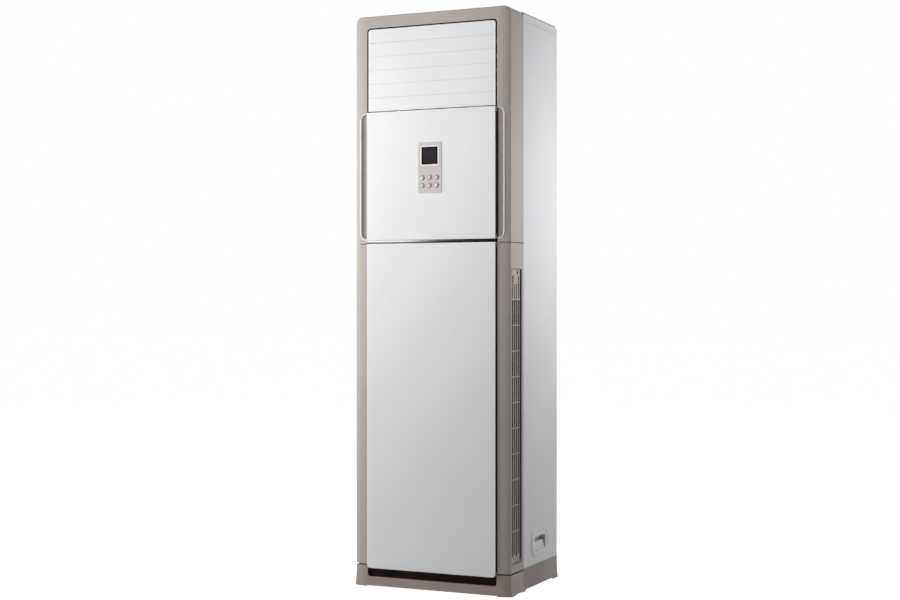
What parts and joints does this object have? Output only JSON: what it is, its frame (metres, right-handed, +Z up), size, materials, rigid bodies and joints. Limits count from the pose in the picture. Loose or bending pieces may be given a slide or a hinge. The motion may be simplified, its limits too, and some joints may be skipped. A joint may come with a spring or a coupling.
{
  "type": "floor standing air conditioner",
  "caption": "Tall column air conditioner with a louvred outlet at the top, a control plate, glossy front panels and tilting intake grilles low in both sides.",
  "frame": {"origin": "on the floor, under the middle of the cabinet's overall box", "axes": "+Z up, +X to the right of someone facing the front, +Y to the back"},
  "size_m": [0.545, 0.425, 1.825],
  "materials": {
    "champagne_plastic": "satin champagne beige moulding with a fine metallic fleck",
    "base_plastic": "satin taupe moulding, a shade darker than the frame",
    "control_plastic": "light champagne, satin",
    "white_gloss_plastic": "white, high gloss",
    "white_plastic": "white, fine moulded texture",
    "white_painted_steel": "white powder coat, low gloss",
    "galvanised_steel": "hot-dip galvanised sheet with a faint spangle",
    "dark_plastic": "dark grey moulding",
    "display_acrylic": "smoked clear acrylic over a grey display",
    "circuit_board": "green solder mask",
    "fin_aluminium": "hydrophilic coated aluminium fins",
    "copper": "bare copper tube",
    "brass": "turned brass",
    "rubber": "black rubber",
    "motor_paint": "black enamel",
    "steel_bright": "zinc plated steel",
    "filter_net": "woven nylon net in a moulded frame"
  },
  "bodies": {
    "cabinet": {"upper_front_frame": "champagne_plastic", "lower_front_frame": "champagne_plastic", "top_cover": "champagne_plastic", "base_plinth": "base_plastic", "base_skirt": "base_plastic", "control_plate": "control_plastic", "middle_panel": "white_gloss_plastic", "carry_handles": "white_plastic", "outlet_duct": "white_plastic", "drain_pan": "white_plastic", "left_side_panel": "white_painted_steel", "right_side_panel": "white_painted_steel", "top_hood": "white_painted_steel", "back_panel": "white_painted_steel", "base_pan": "galvanised_steel", "evaporator_end_plates": "galvanised_steel", "fan_scroll": "galvanised_steel", "partition_plate": "galvanised_steel", "electric_box": "galvanised_steel", "wall_brackets": "galvanised_steel", "swing_motors": "dark_plastic", "terminal_block": "dark_plastic", "display_window": "display_acrylic", "control_board": "circuit_board", "main_board": "circuit_board", "evaporator_fins": "fin_aluminium", "evaporator_tubes": "copper", "refrigerant_pipes": "copper", "flare_nuts": "brass", "pipe_grommet": "rubber", "drain_hose": "rubber", "fan_motor": "motor_paint", "case_screws": "steel_bright", "panel_catches": "steel_bright"},
    "lower_panel": {"lower_panel": "white_gloss_plastic"},
    "fan": {"fan_wheel": "dark_plastic", "fan_shaft": "steel_bright"},
    "louvre_link": {"louvre_link_bar": "white_plastic"},
    "vane_link": {"vane_link_bar": "white_plastic"},
    "left_grille": {"left_intake_grille": "champagne_plastic", "left_air_filter": "filter_net"},
    "right_grille": {"right_intake_grille": "champagne_plastic", "right_air_filter": "filter_net"},
    "louvre_1": {"louvre_blade_1": "white_gloss_plastic"},
    "louvre_2": {"louvre_blade_2": "white_gloss_plastic"},
    "louvre_3": {"louvre_blade_3": "white_gloss_plastic"},
    "louvre_4": {"louvre_blade_4": "white_gloss_plastic"},
    "louvre_5": {"louvre_blade_5": "white_gloss_plastic"},
    "louvre_6": {"louvre_blade_6": "white_gloss_plastic"},
    "vane_1": {"vane_1": "dark_plastic"},
    "vane_2": {"vane_2": "dark_plastic"},
    "vane_3": {"vane_3": "dark_plastic"},
    "vane_4": {"vane_4": "dark_plastic"},
    "vane_5": {"vane_5": "dark_plastic"},
    "button_1": {"button_1": "control_plastic"},
    "button_2": {"button_2": "control_plastic"},
    "button_3": {"button_3": "control_plastic"},
    "button_4": {"button_4": "control_plastic"},
    "button_5": {"button_5": "control_plastic"},
    "button_6": {"button_6": "control_plastic"}
  },
  "joints": [
    {"name": "lower_panel_hinge", "type": "hinge", "parent": "cabinet", "child": "lower_panel", "pos_m": [0, -0.19525, 1.084], "axis": [-1, 0, 0], "range_deg": [0, 18]},
    {"name": "left_grille_tilt", "type": "hinge", "parent": "cabinet", "child": "left_grille", "pos_m": [-0.262, -0.15, 0.1001], "axis": [0, -1, 0], "range_deg": [0, 30]},
    {"name": "right_grille_tilt", "type": "hinge", "parent": "cabinet", "child": "right_grille", "pos_m": [0.262, -0.15, 0.1001], "axis": [0, 1, 0], "range_deg": [0, 30]},
    {"name": "fan_spin", "type": "hinge", "parent": "cabinet", "child": "fan", "pos_m": [-0.014, 0, 0.79], "axis": [0, -1, 0], "continuous": true},
    {"name": "louvre_1_swing", "type": "hinge", "parent": "cabinet", "child": "louvre_1", "pos_m": [0, -0.19325, 1.76036], "axis": [1, 0, 0], "range_deg": [0, 85]},
    {"name": "louvre_2_swing", "type": "hinge", "parent": "cabinet", "child": "louvre_2", "pos_m": [0, -0.19325, 1.71648], "axis": [1, 0, 0], "range_deg": [0, 85]},
    {"name": "louvre_3_swing", "type": "hinge", "parent": "cabinet", "child": "louvre_3", "pos_m": [0, -0.19325, 1.6726], "axis": [1, 0, 0], "range_deg": [0, 85]},
    {"name": "louvre_4_swing", "type": "hinge", "parent": "cabinet", "child": "louvre_4", "pos_m": [0, -0.19325, 1.62872], "axis": [1, 0, 0], "range_deg": [0, 85]},
    {"name": "louvre_5_swing", "type": "hinge", "parent": "cabinet", "child": "louvre_5", "pos_m": [0, -0.19325, 1.58484], "axis": [1, 0, 0], "range_deg": [0, 85]},
    {"name": "louvre_6_swing", "type": "hinge", "parent": "cabinet", "child": "louvre_6", "pos_m": [0, -0.19325, 1.54096], "axis": [1, 0, 0], "range_deg": [0, 85]},
    {"name": "louvre_link_turn", "type": "hinge", "parent": "louvre_1", "child": "louvre_link", "pos_m": [-0.235, -0.17925, 1.76036], "axis": [1, 0, 0], "range_deg": [-85, 0]},
    {"name": "vane_1_swing", "type": "hinge", "parent": "cabinet", "child": "vane_1", "pos_m": [-0.168, -0.13125, 1.65], "axis": [0, 0, 1], "range_deg": [-35, 35]},
    {"name": "vane_2_swing", "type": "hinge", "parent": "cabinet", "child": "vane_2", "pos_m": [-0.084, -0.13125, 1.65], "axis": [0, 0, 1], "range_deg": [-35, 35]},
    {"name": "vane_3_swing", "type": "hinge", "parent": "cabinet", "child": "vane_3", "pos_m": [0, -0.13125, 1.65], "axis": [0, 0, 1], "range_deg": [-35, 35]},
    {"name": "vane_4_swing", "type": "hinge", "parent": "cabinet", "child": "vane_4", "pos_m": [0.084, -0.13125, 1.65], "axis": [0, 0, 1], "range_deg": [-35, 35]},
    {"name": "vane_5_swing", "type": "hinge", "parent": "cabinet", "child": "vane_5", "pos_m": [0.168, -0.13125, 1.65], "axis": [0, 0, 1], "range_deg": [-35, 35]},
    {"name": "vane_link_turn", "type": "hinge", "parent": "vane_1", "child": "vane_link", "pos_m": [-0.168, -0.11725, 1.795], "axis": [0, 0, 1], "range_deg": [-35, 35]},
    {"name": "button_1_press", "type": "slide", "parent": "cabinet", "child": "button_1", "axis": [0, 1, 0], "range_m": [0, 0.0012], "stiffness_N_per_m": 500},
    {"name": "button_2_press", "type": "slide", "parent": "cabinet", "child": "button_2", "axis": [0, 1, 0], "range_m": [0, 0.0012], "stiffness_N_per_m": 500},
    {"name": "button_3_press", "type": "slide", "parent": "cabinet", "child": "button_3", "axis": [0, 1, 0], "range_m": [0, 0.0012], "stiffness_N_per_m": 500},
    {"name": "button_4_press", "type": "slide", "parent": "cabinet", "child": "button_4", "axis": [0, 1, 0], "range_m": [0, 0.0012], "stiffness_N_per_m": 500},
    {"name": "button_5_press", "type": "slide", "parent": "cabinet", "child": "button_5", "axis": [0, 1, 0], "range_m": [0, 0.0012], "stiffness_N_per_m": 500},
    {"name": "button_6_press", "type": "slide", "parent": "cabinet", "child": "button_6", "axis": [0, 1, 0], "range_m": [0, 0.0012], "stiffness_N_per_m": 500}
  ],
  "couplings": [
    {"joint": "louvre_2_swing", "follows": "louvre_1_swing", "ratio": 1},
    {"joint": "louvre_3_swing", "follows": "louvre_1_swing", "ratio": 1},
    {"joint": "louvre_4_swing", "follows": "louvre_1_swing", "ratio": 1},
    {"joint": "louvre_5_swing", "follows": "louvre_1_swing", "ratio": 1},
    {"joint": "louvre_6_swing", "follows": "louvre_1_swing", "ratio": 1},
    {"joint": "louvre_link_turn", "follows": "louvre_1_swing", "ratio": -1},
    {"joint": "vane_2_swing", "follows": "vane_1_swing", "ratio": 1},
    {"joint": "vane_3_swing", "follows": "vane_1_swing", "ratio": 1},
    {"joint": "vane_4_swing", "follows": "vane_1_swing", "ratio": 1},
    {"joint": "vane_5_swing", "follows": "vane_1_swing", "ratio": 1},
    {"joint": "vane_link_turn", "follows": "vane_1_swing", "ratio": -1}
  ]
}
